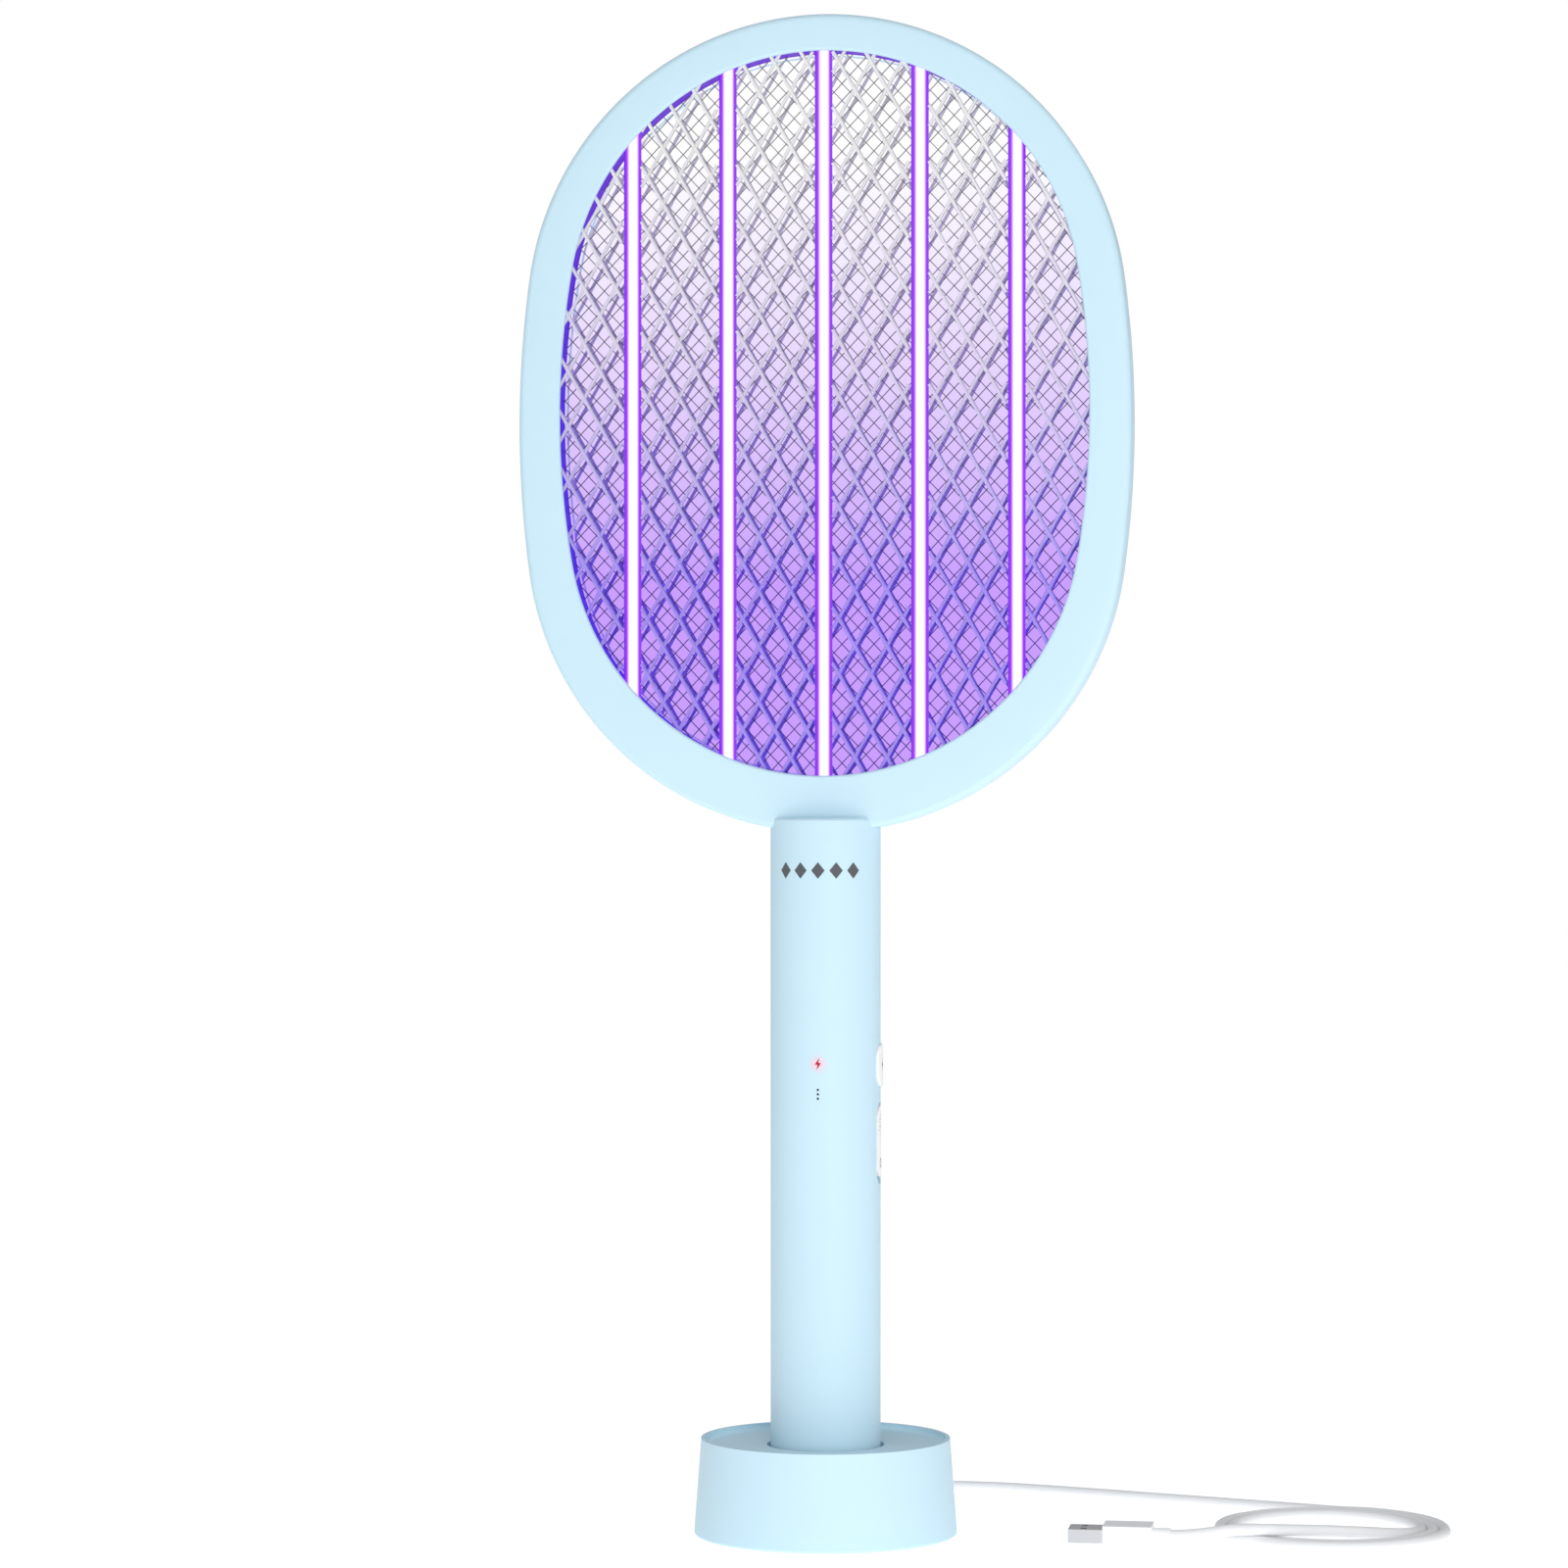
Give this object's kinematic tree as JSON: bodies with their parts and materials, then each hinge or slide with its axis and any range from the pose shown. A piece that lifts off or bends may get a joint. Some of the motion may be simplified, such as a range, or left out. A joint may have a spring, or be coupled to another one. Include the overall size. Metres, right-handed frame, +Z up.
{
  "type": "electric fly swatter",
  "caption": "Racket-shaped electric insect swatter with an oval three-layer net, violet lamp tubes, a round handle, a round charging dock and a coiled USB lead.",
  "frame": {"origin": "centre of the dock's underside, on the table", "axes": "+Z up along the handle, the net's front and the signs face -Y, the buttons are on +X"},
  "size_m": [0.3171, 0.1515, 0.518],
  "materials": {
    "blue_plastic": "satin moulded ABS, pale ice blue",
    "inner_plastic": "plain moulded ABS",
    "white_plastic": "smooth white moulding",
    "violet_plastic": "clear plastic lit violet from within",
    "net_steel": "expanded aluminium sheet",
    "net_wire": "fine drawn wire",
    "lamp_glass": "lit violet lamp tube",
    "led_plastic": "moulded light source",
    "board_green": "lacquered circuit board",
    "screw_steel": "zinc plated",
    "bright_steel": "bright nickel plate",
    "gold_brass": "gold plated",
    "ballast_iron": "painted casting",
    "rubber": "soft rubber",
    "wire_red": "insulated wire",
    "sign_red": "lit red window",
    "sign_dark": "dark window",
    "coil_yellow": "tape wound coil",
    "capacitor_red": "dipped film capacitor",
    "battery_wrap": "shrink wrapped cell",
    "lead_white": "soft white jacket"
  },
  "bodies": {
    "dock": {"dock_shell": "blue_plastic", "socket_cup": "inner_plastic", "dock_base_plate": "inner_plastic", "dock_feet": "rubber", "dock_screws": "screw_steel", "dock_weight": "ballast_iron", "charge_board": "board_green", "usb_socket": "bright_steel", "pin_board": "board_green", "pin_sleeves": "gold_brass", "lead_run": "lead_white", "lead_coil": "lead_white", "lead_tail": "lead_white", "usb_c_plug": "bright_steel", "usb_c_sleeve": "white_plastic", "usb_a_plug": "bright_steel", "usb_a_sleeve": "white_plastic", "usb_a_tongue": "white_plastic"},
    "swatter": {"head_front_shell": "blue_plastic", "head_rear_shell": "blue_plastic", "light_guide_front": "violet_plastic", "light_guide_rear": "violet_plastic", "front_guard_net": "net_steel", "live_net": "net_wire", "rear_guard_net": "net_steel", "lamp_1": "lamp_glass", "lamp_2": "lamp_glass", "lamp_3": "lamp_glass", "lamp_4": "lamp_glass", "lamp_5": "lamp_glass", "lamp_leds": "led_plastic", "lamp_boards": "board_green", "head_screws": "screw_steel", "neck_bracket": "inner_plastic", "net_leads": "wire_red", "handle_front_shell": "blue_plastic", "handle_rear_shell": "blue_plastic", "handle_screws": "screw_steel", "handle_end_cap": "blue_plastic", "charge_pads": "gold_brass", "bolt_window": "sign_red", "level_windows": "sign_dark", "sign_board": "board_green", "sign_leds": "led_plastic", "circuit_board": "board_green", "transformer": "coil_yellow", "capacitor": "capacitor_red", "diodes": "sign_dark", "tact_switch": "sign_dark", "slide_switch": "bright_steel", "slider_track": "blue_plastic", "battery_cell": "battery_wrap", "battery_bulkheads": "inner_plastic", "battery_tabs": "bright_steel", "battery_leads": "sign_dark"},
    "trigger": {"trigger_button": "white_plastic"},
    "slider": {"power_slider": "white_plastic"},
    "left_pin": {"charge_pin_left": "gold_brass"},
    "right_pin": {"charge_pin_right": "gold_brass"}
  },
  "joints": [
    {"name": "swatter_lift", "type": "slide", "parent": "dock", "child": "swatter", "axis": [0, 0, 1], "range_m": [0, 0.06]},
    {"name": "trigger_press", "type": "slide", "parent": "swatter", "child": "trigger", "axis": [-1, 0, 0], "range_m": [0, 0.001], "stiffness_N_per_m": 900, "springref_m": -0.001},
    {"name": "power_slide", "type": "slide", "parent": "swatter", "child": "slider", "axis": [0, 0, -1], "range_m": [0, 0.002]},
    {"name": "left_pin_press", "type": "slide", "parent": "dock", "child": "left_pin", "axis": [0, 0, 1], "range_m": [-0.001, 0], "stiffness_N_per_m": 60, "springref_m": 0.001},
    {"name": "right_pin_press", "type": "slide", "parent": "dock", "child": "right_pin", "axis": [0, 0, 1], "range_m": [-0.001, 0], "stiffness_N_per_m": 60, "springref_m": 0.001}
  ]
}
